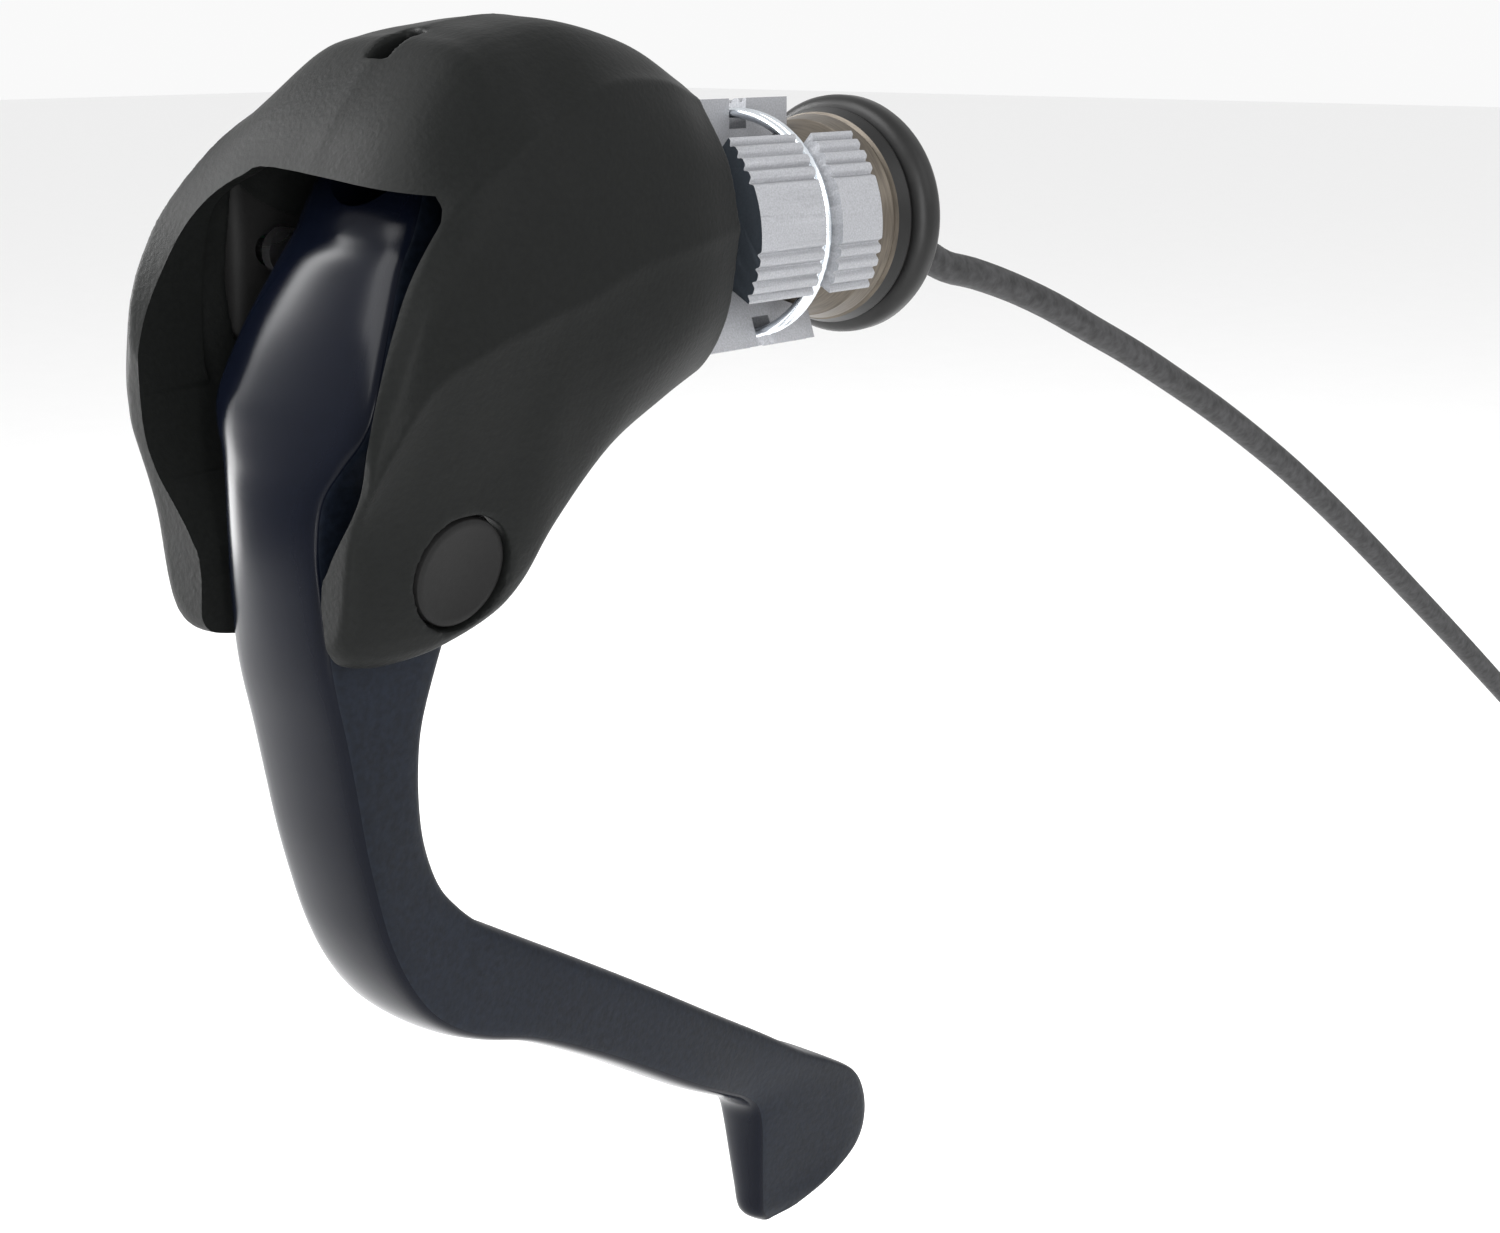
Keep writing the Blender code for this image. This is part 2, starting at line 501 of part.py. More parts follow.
def make_rear_cone(bronze, rubber):
    slim_x = 13.4
    slim = CONE_BIG - CONE_TAN * (REAR_CONE_X - slim_x)
    profile = [(slim_x, BORE_RADIUS), (slim_x, slim), (REAR_CONE_X, CONE_BIG), (22.8, 8.7),
               (22.8, 8.0), (25.4, 8.0), (25.4, BORE_RADIUS)]
    finish(turned("rear_cone", list(reversed(profile)), steps=48), bronze)
    rim = [(23.1, 8.3), (23.1, 9.1), (23.7, FLANGE_RADIUS), (25.2, FLANGE_RADIUS), (25.9, 9.1),
           (25.9, 8.3)]
    finish(turned("rear_rim", list(reversed(rim)), steps=48), rubber)
    gland = [(25.7, 1.8), (25.7, 4.6), (26.6, 4.2), (27.8, 2.6), (27.8, 1.8)]
    finish(turned("wire_grommet", list(reversed(gland)), steps=28), rubber)


def make_bolt(steel):
    bore = WIRE / 2 + 0.35
    profile = [(-8.2, 4.6), (-7.8, 5.0), (-5.2, 5.0), (-5.2, 3.3), (22.4, 3.3), (22.4, bore),
               (-8.2, bore)]
    bolt = turned("clamp_bolt", profile, steps=32)
    socket = rod("bolt_socket", (-10, 0, 0), (-6.4, 0, 0), 3.0, cutters, 6)
    combine(bolt, "DIFFERENCE", socket)
    finish(bolt, steel)
    washer = [(-4.95, 5.0), (-4.5, 5.0), (-4.5, 3.6), (-4.95, 3.6)]
    finish(turned("bolt_washer", washer, steps=32), steel)


# ---- switch pod ---------------------------------------------------------------------------
def make_pod(plastic, button_plastic, board_green, steel):
    housing = box("switch_housing", (POD_X[0], POD_Y[0], POD_Z[0]), (POD_X[1], POD_Y[1], POD_Z[1]))
    bevel(housing, 1.1, 2)
    base = POD_Y[0] + 1.3
    room = box("switch_room", (BUTTON_X[0] - 0.4, base, -5.0), (BUTTON_X[1] + 0.4, 20, 5.2), cutters)
    combine(housing, "DIFFERENCE", room)
    for name, x in POD_SCREWS.items():
        combine(housing, "DIFFERENCE", rod("pilot", (x, 10, 0), (x, 14, 0), 1.1, cutters, 16))
        head = POD_Y[0] - 2.25
        screw = rod(name, (x, head, 0), (x, head + 0.8, 0), 1.7, None, 20)
        combine(screw, "UNION", rod("shank", (x, head + 0.4, 0), (x, base - 0.3, 0), 0.8, None, 16))
        finish(screw, steel)
    finish(housing, plastic)
    board = box("circuit_board", (BUTTON_X[0], base + 0.3, -4.6), (BUTTON_X[1], base + 0.7, 4.8))
    finish(board, board_green)
    button_base = base + 2.1
    for name, (low, high) in BUTTON_Z.items():
        button = box(name, (BUTTON_X[0], button_base, low), (BUTTON_X[1], button_base + 2.0, high))
        bevel(button, 0.5, 2)
        finish(button, button_plastic)
        x, z = sum(BUTTON_X) / 2, (low + high) / 2
        dome = rod(name.replace("shift_button", "switch_dome"), (x, base + 0.9, z),
                   (x, base + 1.2, z), 1.7, None, 20)
        finish(dome, steel)


# ---- wire ---------------------------------------------------------------------------------
def make_wire(sleeve, plug_plastic, tie_plastic):
    curve = bpy.data.curves.new("shift_wire", "CURVE")
    curve.dimensions = "3D"
    curve.bevel_depth = WIRE / 2 * MM
    curve.bevel_resolution = 2
    curve.use_fill_caps = True
    route = through_points(WIRE_ROUTE, 2)
    spline = curve.splines.new("POLY")
    spline.points.add(len(route) - 1)
    for point, place in zip(spline.points, route):
        point.co = (*(place * MM), 1.0)
    curve.materials.append(sleeve)
    wire = bpy.data.objects.new("shift_wire", curve)
    parts.objects.link(wire)
    half = COIL_SECTION
    corners = [(math.radians(45) * i + math.radians(22.5)) for i in range(8)]
    section = [(half * math.cos(a), COIL_RADIUS + half * math.sin(a)) for a in corners]
    finish(turned("wire_coil", section, COIL_MIDDLE, "Y", 32), sleeve)
    x, y, z = COIL_MIDDLE
    low = z - COIL_RADIUS
    plug = rod("wire_plug", (x - 8, -7.2, low + 6), (x + 8, -7.2, low + 6), 3.0, None, 20)
    bevel(plug, 0.4, 1)
    finish(plug, plug_plastic)
    band = [(-1.5, COIL_SECTION + GAP), (-1.5, COIL_SECTION + 1.1), (1.5, COIL_SECTION + 1.1),
            (1.5, COIL_SECTION + GAP)]
    finish(turned("wire_tie", band, (x, y, low), "X", 24), tie_plastic)


def build():
    clear_scene()
    bpy.context.scene.collection.children.link(parts)
    bpy.context.scene.collection.children.link(cutters)
    steel = material("bright steel", (0.55, 0.55, 0.56), 0.3, 1.0)
    make_hood(material("hood rubber", (0.022, 0.023, 0.022), 0.55))
    make_core(material("bracket composite", (0.018, 0.018, 0.019), 0.45))
    cap_black = material("cap black", (0.02, 0.02, 0.02), 0.5)
    make_caps(cap_black)
    make_blade(material("blade lacquer", (0.012, 0.016, 0.026), 0.25))
    make_lever_fittings(steel, material("bush bronze", (0.3, 0.2, 0.1), 0.4, 1.0))
    make_cable_stop(steel)
    make_front_cone(cap_black)
    make_segments(material("blasted aluminium", (0.5, 0.5, 0.51), 0.5, 1.0))
    make_ring(material("zinc wire", (0.65, 0.67, 0.7), 0.25, 1.0))
    make_rear_cone(material("cone bronze", (0.2, 0.17, 0.14), 0.45, 0.7),
                   material("rim rubber", (0.012, 0.012, 0.012), 0.6))
    make_bolt(steel)
    make_pod(cap_black, material("button grey", (0.05, 0.05, 0.052), 0.5),
             material("board green", (0.02, 0.12, 0.05), 0.5), steel)
    make_wire(material("wire sleeve", (0.035, 0.035, 0.036), 0.6), cap_black, cap_black)


build()
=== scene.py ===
"""Looks of the bar-end brake shift lever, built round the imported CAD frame.

Sizes are in millimetres unless a comment says otherwise."""
import json
import math

import bmesh
import bpy
from mathutils import Matrix, Vector


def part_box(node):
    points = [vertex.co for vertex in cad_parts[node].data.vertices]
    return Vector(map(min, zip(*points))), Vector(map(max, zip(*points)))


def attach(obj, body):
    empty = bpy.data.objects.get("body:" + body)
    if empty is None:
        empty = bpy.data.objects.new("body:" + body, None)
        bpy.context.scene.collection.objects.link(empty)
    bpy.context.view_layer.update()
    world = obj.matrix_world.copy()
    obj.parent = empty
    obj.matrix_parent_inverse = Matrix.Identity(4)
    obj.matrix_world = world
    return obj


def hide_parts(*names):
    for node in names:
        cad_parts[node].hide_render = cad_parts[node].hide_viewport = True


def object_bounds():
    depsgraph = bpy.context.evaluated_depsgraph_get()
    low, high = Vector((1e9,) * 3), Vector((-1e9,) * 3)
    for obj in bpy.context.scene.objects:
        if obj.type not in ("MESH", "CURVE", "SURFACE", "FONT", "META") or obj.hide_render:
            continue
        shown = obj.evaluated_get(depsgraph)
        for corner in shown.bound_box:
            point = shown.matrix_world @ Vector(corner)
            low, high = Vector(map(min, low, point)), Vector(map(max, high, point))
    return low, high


MM = 0.001
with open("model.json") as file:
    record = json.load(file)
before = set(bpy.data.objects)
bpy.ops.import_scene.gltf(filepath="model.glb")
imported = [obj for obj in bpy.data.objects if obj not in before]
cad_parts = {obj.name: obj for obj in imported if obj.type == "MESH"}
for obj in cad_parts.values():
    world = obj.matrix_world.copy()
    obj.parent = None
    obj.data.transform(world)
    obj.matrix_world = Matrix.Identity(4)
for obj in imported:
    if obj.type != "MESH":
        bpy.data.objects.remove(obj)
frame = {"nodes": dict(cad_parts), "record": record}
CAD_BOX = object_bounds()
nodes = frame["nodes"]


def in_mm(node):
    """A node's lowest and highest corner, in millimetres."""
    low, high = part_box(node)
    return Vector(low) / MM, Vector(high) / MM


def middle_of(node):
    low, high = in_mm(node)
    return (low + high) / 2


# ---- dimensions -----------------------------------------------------------------------------
JOINTS = {joint["name"]: joint for joint in frame["record"]["behaviour"]["joints"]}
PIVOT = Vector(JOINTS["lever_pivot"]["pos_m"]) / MM
ANCHOR = Vector(JOINTS["anchor_turn"]["pos_m"]) / MM

CAMERA_LENS = 55.1
CAMERA_PLACE = (-126.4, -116.8, 15.3)
CAMERA_TURN, CAMERA_DROP = math.radians(-50.06), math.radians(14.53)
LIGHT_AIM = Vector((-0.015, 0, -0.03))          # in metres, as the lights' places are
FLOOR_BELOW = 3                 # under the CAD's lowest point

HOOD_WALL = 1.7
HOOD_REACH = (-36.3, 0.0)       # in X
INSIDE_REACH = (-31.5, -HOOD_WALL)
REAR_HOLE = 8.9
HOOD_VOXEL = 0.22
HOOD_SOFTENING = 6              # smoothing passes after the voxel remesh
INSIDE_VOXEL = 0.5              # coarse: it only keeps the hollow from crossing itself
# x, top z, (y, z) of shoulder, flank, ridge, cheek and foot on the near side, bottom z,
# and how much higher and wider the far side is; FAR_SHARES of the rise go to those five points
HOOD_SECTIONS = [
    (-36.4, -10.0, (11.0, -10.8), (11.6, -11.8), (11.2, -13.2), (9.1, -16.5), (7.5, -22.2), -23.0, 4.6, 1.4),
    (-35.6, -6.0, (11.4, -7.4), (12.0, -9.0), (12.0, -11.0), (9.6, -15.8), (8.0, -23.4), -24.2, 4.5, 1.7),
    (-34.0, -0.6, (11.8, -3.2), (12.7, -5.0), (12.9, -8.0), (10.0, -15.4), (8.3, -23.9), -24.7, 3.6, 1.7),
    (-32.0, 3.8, (11.7, 0.5), (12.9, -1.6), (13.3, -6.0), (10.4, -14.8), (8.5, -24.0), -24.9, 3.1, 1.5),
    (-28.5, 9.3, (11.5, 4.2), (12.8, 1.4), (13.6, -4.5), (10.9, -14.0), (8.8, -23.7), -24.5, 3.2, 0.7),
    (-24.0, 13.8, (11.5, 6.7), (12.5, 2.7), (13.6, -3.2), (11.5, -12.0), (9.1, -22.4), -23.0, 3.3, 0.2),
    (-21.3, 14.8, (11.2, 8.2), (12.3, 3.4), (13.4, -2.6), (11.9, -10.8), (9.1, -20.8), -21.4, 2.9, 0.1),
    (-18.5, 15.4, (10.7, 9.2), (12.1, 4.2), (13.2, -2.0), (12.0, -9.5), (9.2, -17.6), -18.0, 1.5, 0.0),
    (-13.0, 15.8, (9.9, 11.2), (11.5, 5.6), (12.7, -0.4), (11.8, -8.2), (9.0, -13.2), -13.7, 0.3, 0.0),
    (-6.0, 14.3, (8.4, 11.3), (10.5, 6.4), (11.9, 0.6), (10.8, -6.3), (7.7, -10.8), -11.4, 0.0, 0.0),
    (0.0, 11.7, (6.4, 9.9), (9.1, 5.6), (10.2, 1.0), (8.9, -5.4), (6.3, -9.3), -10.2, 0.0, 0.9),
]
FAR_SHARES = (1.0, 0.6, 0.3, 0.0, 0.0)
CREASED = (2, 4)                # the shoulder and the ridge, in the order of hood_ring's half
CREASE_REACH = 0.16             # share of the way to the next point
# Outline of the front slot, as (y, z) points
MOUTH = [
    (-10.1, 4.9), (3.5, 6.2), (6.4, 5.6), (8.8, 4.2), (10.2, 2.2), (11.0, -0.5), (11.5, -4.0),
    (11.5, -10.5), (10.4, -13.6), (8.4, -16.0), (6.9, -18.0), (6.1, -20.5), (6.1, -32.0),
    (-6.1, -32.0), (-6.1, -20.5), (-6.9, -18.0), (-8.2, -16.0), (-9.5, -14.2), (-10.6, -12.0),
    (-11.2, -8.0), (-11.3, 1.8), (-11.0, 3.8),
]
MOUTH_REACH = (-45, -19)        # in X, of the cut for the front slot
SLOT_HALF = (2.1, 1.0, 3.0)     # half the size of the cut for the top slot
SLOT_MIDDLE, SLOT_TILT = (-23.0, 0, 14.6), math.radians(-15)
HOUSING_HOLE, HOUSING_DROP = 3.0, math.radians(50)
CAP_DRAFT = math.radians(13)
CAP_SEAT = 9.1                  # from the middle plane to each axle cap
CAP_HOLE = 4.02

# Blade stations from the top to the tip: front edge (x, z), rear edge (x, z), their half widths
BLADE = [
    ((-26.1, 5.6), (-21.6, 5.6), 5.2, 5.2), ((-27.2, 4.0), (-21.3, 3.7), 5.6, 5.6),
    ((-28.2, 2.0), (-21.0, 1.7), 5.8, 5.8),
    ((-29.6, 0.0), (-20.8, -0.5), 6.1, 6.1), ((-31.8, -4.0), (-20.6, -5.0), 7.2, 7.2),
    ((-33.6, -8.0), (-20.7, -9.0), 7.9, 7.9), ((-34.3, -10.0), (-20.8, -11.5), 7.45, 7.4),
    ((-35.0, -12.0), (-20.9, -13.5), 6.05, 6.0), ((-35.7, -14.0), (-21.2, -16.0), 4.95, 4.95),
    ((-36.0, -17.0), (-21.8, -19.0), 4.6, 4.6), ((-35.9, -21.0), (-22.8, -22.5), 4.75, 4.7),
    ((-35.5, -26.0), (-24.6, -26.0), 4.9, 4.8), ((-34.6, -30.5), (-26.4, -30.5), 4.9, 4.8),
    ((-33.9, -34.5), (-26.9, -34.0), 4.85, 4.75), ((-33.2, -38.5), (-26.8, -37.5), 4.75, 4.65),
    ((-32.3, -42.3), (-26.2, -40.2), 4.65, 4.5), ((-31.2, -46.0), (-25.1, -42.8), 4.55, 4.4),
    ((-29.6, -49.5), (-23.4, -44.9), 4.5, 4.3), ((-27.4, -52.6), (-21.3, -46.8), 4.4, 4.2),
    ((-24.6, -54.9), (-18.6, -48.5), 4.3, 4.1), ((-21.3, -56.6), (-15.5, -50.4), 4.15, 4.0),
    ((-16.0, -58.7), (-10.6, -53.4), 4.0, 3.9), ((-7.7, -63.35), (-3.2, -58.0), 3.7, 3.7),
    ((1.5, -69.1), (6.0, -63.9), 3.3, 3.5), ((6.2, -71.7), (12.0, -67.7), 2.9, 3.4),
    ((9.0, -73.2), (17.3, -71.15), 2.5, 3.3), ((10.6, -74.7), (21.2, -73.3), 2.3, 3.25),
    ((11.2, -76.8), (24.8, -75.9), 2.2, 3.2), ((11.6, -80.0), (26.2, -79.6), 1.9, 3.1),
    ((12.0, -83.2), (25.3, -82.8), 1.6, 2.9), ((12.4, -85.6), (21.6, -85.0), 1.4, 2.5),
    ((13.8, -86.8), (17.2, -86.5), 1.2, 1.6),
]
# Cross-section of the blade: (depth behind the front, share of the front half width), then
# (distance before the rear, share of the rear half width)
BLADE_FRONT = [(0.0, 0.0), (0.1, 0.42), (0.32, 0.75), (0.58, 0.92), (0.95, 1.0), (1.6, 1.01)]
BLADE_REAR = [(1.1, 1.01), (0.5, 0.98), (0.1, 0.88), (0.0, 0.5), (0.0, 0.0)]
BLADE_FULL = 6.0                # where the blade is less deep, its cross-section shrinks in step
GLOSS_SPANS = 4                 # spans to each side of the front's middle with the gloss lacquer
PIVOT_BORE, ANCHOR_BORE = 3.7, 2.5
CABLE_WAY = ((-23.6, -1.1, -3.0), (-19, 1.1, 1.2))
SCOOP_Z, SCOOP_RADIUS = 7.9, 4.2

CONE_BIG, CONE_TAN = 7.6, 0.364         # largest radius and slope of both cones
FRONT_CONE_X, REAR_CONE_X = 1.4, 19.2   # where each is widest
BLACK_X = 21.5                  # behind this the rear cone is black
SEGMENT_RADIUS, SEGMENT_INNER = 9.6, 4.0
SEGMENT_SPAN = math.radians(78)
SEGMENT_MIDDLES = [math.radians(9 + 120 * i) for i in range(3)]
SEGMENT_SLACK = 0.32            # gap round the cones, inside the segments
OUTER_STEPS, INNER_STEPS = 150, 12
RIBS, RIB_PITCH, RIB_DEPTH = 4, math.radians(6.5), 0.36
GROOVE_HALF, GROOVE_RADIUS = 1.0, 7.3
RING_WIRE, RING_TURNS = 0.78, 1.93
RING_START, RING_STEPS = math.radians(-10), 150

FINGER_GROOVES, FINGER_PITCH, FINGER_RADIUS = 4, 1.75, 0.62
FINGER_FIRST, FINGER_END = 2.6, 0.9     # from the button's front edge, and from its ends
FINGER_LIFT = 0.45              # of each groove's middle over the button's face

WIRE = 2.8
EXIT_X = 27.2                   # where the wire comes free of the grommet
INNER_ROUTE = [
    (-15.3, 10.9, 0.0), (-15.0, 8.6, 0.0), (-14.2, 5.8, 0.0), (-12.4, 3.0, 0.0), (-9.8, 0.8, 0.0),
    (-6.5, 0.0, 0.0), (2.0, 0.0, 0.0), (12.0, 0.0, 0.0), (22.0, 0.0, 0.0), (EXIT_X - 0.1, 0.0, 0.0),
]
FREE_ROUTE = [
    (EXIT_X, 0.0, 0.0), (29.0, 0.0, -0.2), (32.0, 0.0, -1.4), (35.5, 0.0, -3.6),
    (39.5, 0.0, -5.4), (44.0, 0.0, -6.4), (50.0, 0.0, -8.1), (57.0, 0.0, -10.5),
    (64.0, 0.0, -13.3), (72.0, 0.0, -16.5), (80.0, 0.0, -20.0), (89.0, 0.0, -24.1),
    (98.0, 0.0, -28.5), (108.0, 0.0, -33.7), (119.0, 0.0, -39.9), (130.0, 0.0, -46.4),
    (142.0, 0.0, -53.7), (154.0, 0.0, -61.0), (166.0, 0.0, -68.4), (178.0, 0.0, -75.9),
    (189.0, 0.0, -82.8), (198.0, 0.0, -88.3), (206.0, -0.2, -92.3),
]
COIL_RADIUS = 15.0              # middle of the bundle of turns
COIL_OFFSET = 2.0               # of each turn from the middle of the bundle
COIL_FIRST, COIL_LAST = 14, 1180        # degrees, clockwise from the top
COIL_STEP = 18
BUNDLE_LAST = 270               # where the last turn lies in the bundle's section, degrees


# ---- mesh tools -----------------------------------------------------------------------------
def add(obj):
    bpy.context.scene.collection.objects.link(obj)
    return obj


def mesh_object(name, bm):
    """An object in metres from a bmesh in millimetres."""
    bmesh.ops.recalc_face_normals(bm, faces=bm.faces)
    bmesh.ops.scale(bm, vec=(MM, MM, MM), verts=bm.verts)
    mesh = bpy.data.meshes.new(name)
    bm.to_mesh(mesh)
    bm.free()
    return add(bpy.data.objects.new(name, mesh))


def through_points(points, steps):
    """Points on a smooth curve through the given points; each may have any number of values."""
    def mix(*terms):
        return [sum(k * v[i] for k, v in terms) for i in range(len(points[0]))]
    ends = [mix((2, points[0]), (-1, points[1]))] + list(points)
    ends.append(mix((2, points[-1]), (-1, points[-2])))
    smooth = []
    for a, b, c, d in zip(ends, ends[1:], ends[2:], ends[3:]):
        for i in range(steps):
            t = i / steps
            smooth.append(mix((0.5 * (2 * t * t - t - t ** 3), a),
                              (0.5 * (2 - 5 * t * t + 3 * t ** 3), b),
                              (0.5 * (t + 4 * t * t - 3 * t ** 3), c),
                              (0.5 * (t ** 3 - t * t), d)))
    return smooth + [list(points[-1])]


def skin(bm, rings):
    """Joins rings of points into a closed tube."""
    rows = [[bm.verts.new(p) for p in ring] for ring in rings]
    for one, two in zip(rows, rows[1:]):
        for a, b, c, d in zip(one, one[1:] + one[:1], two[1:] + two[:1], two):
            bm.faces.new((a, b, c, d))
    bm.faces.new(rows[0])
    bm.faces.new(rows[-1])


def turned(name, profile, middle=(0, 0, 0), axis=(1, 0, 0), steps=96, whole=True):
    """A profile of (distance along the axis, radius) turned round an axis, at any angle."""
    bm = bmesh.new()
    corners = [bm.verts.new((radius, 0.0, along)) for along, radius in profile]
    pairs = zip(corners, corners[1:] + corners[:1]) if whole else zip(corners, corners[1:])
    edges = [bm.edges.new(pair) for pair in pairs]
    bmesh.ops.spin(bm, geom=corners + edges, cent=(0, 0, 0), axis=(0, 0, 1),
                   angle=math.tau, steps=steps, use_merge=True)
    bmesh.ops.remove_doubles(bm, verts=bm.verts, dist=1e-4)
    bmesh.ops.rotate(bm, matrix=Vector(axis).to_track_quat("Z", "Y").to_matrix(), verts=bm.verts)
    bmesh.ops.translate(bm, vec=Vector(middle), verts=bm.verts)
    return mesh_object(name, bm)


def rod(name, start, end, radius, sides=48):
    start, end = Vector(start), Vector(end)
    length = (end - start).length
    return turned(name, [(0, 0), (0, radius), (length, radius), (length, 0)], start,
                  end - start, sides, whole=False)


def block(name, low, high):
    bm = bmesh.new()
    bmesh.ops.create_cube(bm, size=1.0)
    bmesh.ops.scale(bm, vec=[h - l for l, h in zip(low, high)], verts=bm.verts)
    bmesh.ops.translate(bm, vec=[(h + l) / 2 for l, h in zip(low, high)], verts=bm.verts)
    return mesh_object(name, bm)


def prism(name, outline, low, high):
    """An outline of (y, z) points, thickened along X."""
    bm = bmesh.new()
    skin(bm, [[(x, y, z) for y, z in outline] for x in (low, high)])
    return mesh_object(name, bm)


def applied(obj):
    """Applies the object's modifiers."""
    bpy.context.view_layer.update()
    evaluated = obj.evaluated_get(bpy.context.evaluated_depsgraph_get())
    mesh = bpy.data.meshes.new_from_object(evaluated)
    obj.modifiers.clear()
    obj.data = mesh
    return obj


def cut(target, *tools):
    """Cuts each tool out of the target, and removes the tool."""
    for tool in tools:
        modifier = target.modifiers.new("cut", "BOOLEAN")
        modifier.operation = "DIFFERENCE"
        modifier.solver = "EXACT"
        modifier.object = tool
        applied(target)
        bpy.data.objects.remove(tool, do_unlink=True)


def rounded(obj, width, segments=3, angle=30):
    modifier = obj.modifiers.new("rounding", "BEVEL")
    modifier.width = width * MM
    modifier.segments = segments
    modifier.limit_method = "ANGLE"
    modifier.angle_limit = math.radians(angle)
    modifier.harden_normals = False
    return applied(obj)


def shade(obj, angle=35):
    obj.data.shade_smooth()
    obj.data.set_sharp_from_angle(angle=math.radians(angle))


def remeshed(obj, voxel, passes):
    """One even mesh, with its edges softened as a moulding's are."""
    modifier = obj.modifiers.new("even", "REMESH")
    modifier.mode = "VOXEL"
    modifier.voxel_size = voxel * MM
    applied(obj)
    modifier = obj.modifiers.new("soften", "SMOOTH")
    modifier.factor = 0.5
    modifier.iterations = passes
    applied(obj)


def paint(obj, chosen):
    """Gives the faces for which chosen is true the object's second material."""
    for face in obj.data.polygons:
        face.material_index = 1 if chosen(face) else 0


def dress(obj, mats, body, replaces=()):
    """Materials, body and the CAD nodes that this piece stands for."""
    obj.data.materials.clear()
    for mat in mats if isinstance(mats, (list, tuple)) else [mats]:
        obj.data.materials.append(mat)
    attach(obj, body)
    if replaces:
        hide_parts(*replaces)
    return obj


# ---- materials ------------------------------------------------------------------------------
def surface(name, colour, rough, metallic=0.0, speckle=0.0, speckle_scale=900, grain=0.0,
            grain_scale=2500, stretch=(1, 1, 1), rough_spread=0.08, broad=0.12, specular=0.5):
    """A moulded, painted or metal surface: colour that drifts and is speckled, and a fine grain.

    Scales are per metre; grain is the height of the relief in millimetres."""
    mat = bpy.data.materials.new(name)
    mat.use_nodes = True
    tree = mat.node_tree
    links = tree.links
    shader = tree.nodes["Principled BSDF"]
    shader.inputs["Metallic"].default_value = metallic
    shader.inputs["Specular IOR Level"].default_value = specular
    place = tree.nodes.new("ShaderNodeTexCoord")
    mapping = tree.nodes.new("ShaderNodeMapping")
    mapping.inputs["Scale"].default_value = stretch
    links.new(place.outputs["Object"], mapping.inputs["Vector"])

    def noise(scale, detail):
        node = tree.nodes.new("ShaderNodeTexNoise")
        node.inputs["Scale"].default_value = scale
        node.inputs["Detail"].default_value = detail
        links.new(mapping.outputs["Vector"], node.inputs["Vector"])
        return node

    def spread(source, low, high, band=(0.3, 0.7)):
        node = tree.nodes.new("ShaderNodeMapRange")
        node.inputs["From Min"].default_value, node.inputs["From Max"].default_value = band
        node.inputs["To Min"].default_value, node.inputs["To Max"].default_value = low, high
        links.new(source, node.inputs["Value"])
        return node.outputs["Result"]

    drift = noise(60, 3)
    fine = noise(speckle_scale, 2)
    total = tree.nodes.new("ShaderNodeMath")
    total.operation = "ADD"
    links.new(spread(drift.outputs["Fac"], -broad, broad), total.inputs[0])
    links.new(spread(fine.outputs["Fac"], -speckle, speckle), total.inputs[1])
    reach = broad + speckle
    share = tree.nodes.new("ShaderNodeMapRange")
    share.inputs["From Min"].default_value, share.inputs["From Max"].default_value = -reach, reach
    links.new(total.outputs["Value"], share.inputs["Value"])
    mix = tree.nodes.new("ShaderNodeMix")
    mix.data_type = "RGBA"
    colour_inputs = [socket for socket in mix.inputs if socket.type == "RGBA"]
    for socket, sign in zip(colour_inputs, (-1, 1)):
        socket.default_value = (*[min(1.0, c * (1 + sign * reach)) for c in colour], 1)
    links.new(share.outputs["Result"], mix.inputs["Factor"])
    mixed = next(socket for socket in mix.outputs if socket.type == "RGBA")
    links.new(mixed, shader.inputs["Base Color"])
    links.new(spread(drift.outputs["Fac"], rough - rough_spread, rough + rough_spread),
              shader.inputs["Roughness"])
    if grain:
        bump = tree.nodes.new("ShaderNodeBump")
        bump.inputs["Strength"].default_value = 0.95
        bump.inputs["Distance"].default_value = grain * MM
        links.new(noise(grain_scale, 2).outputs["Fac"], bump.inputs["Height"])
        links.new(bump.outputs["Normal"], shader.inputs["Normal"])
    return mat


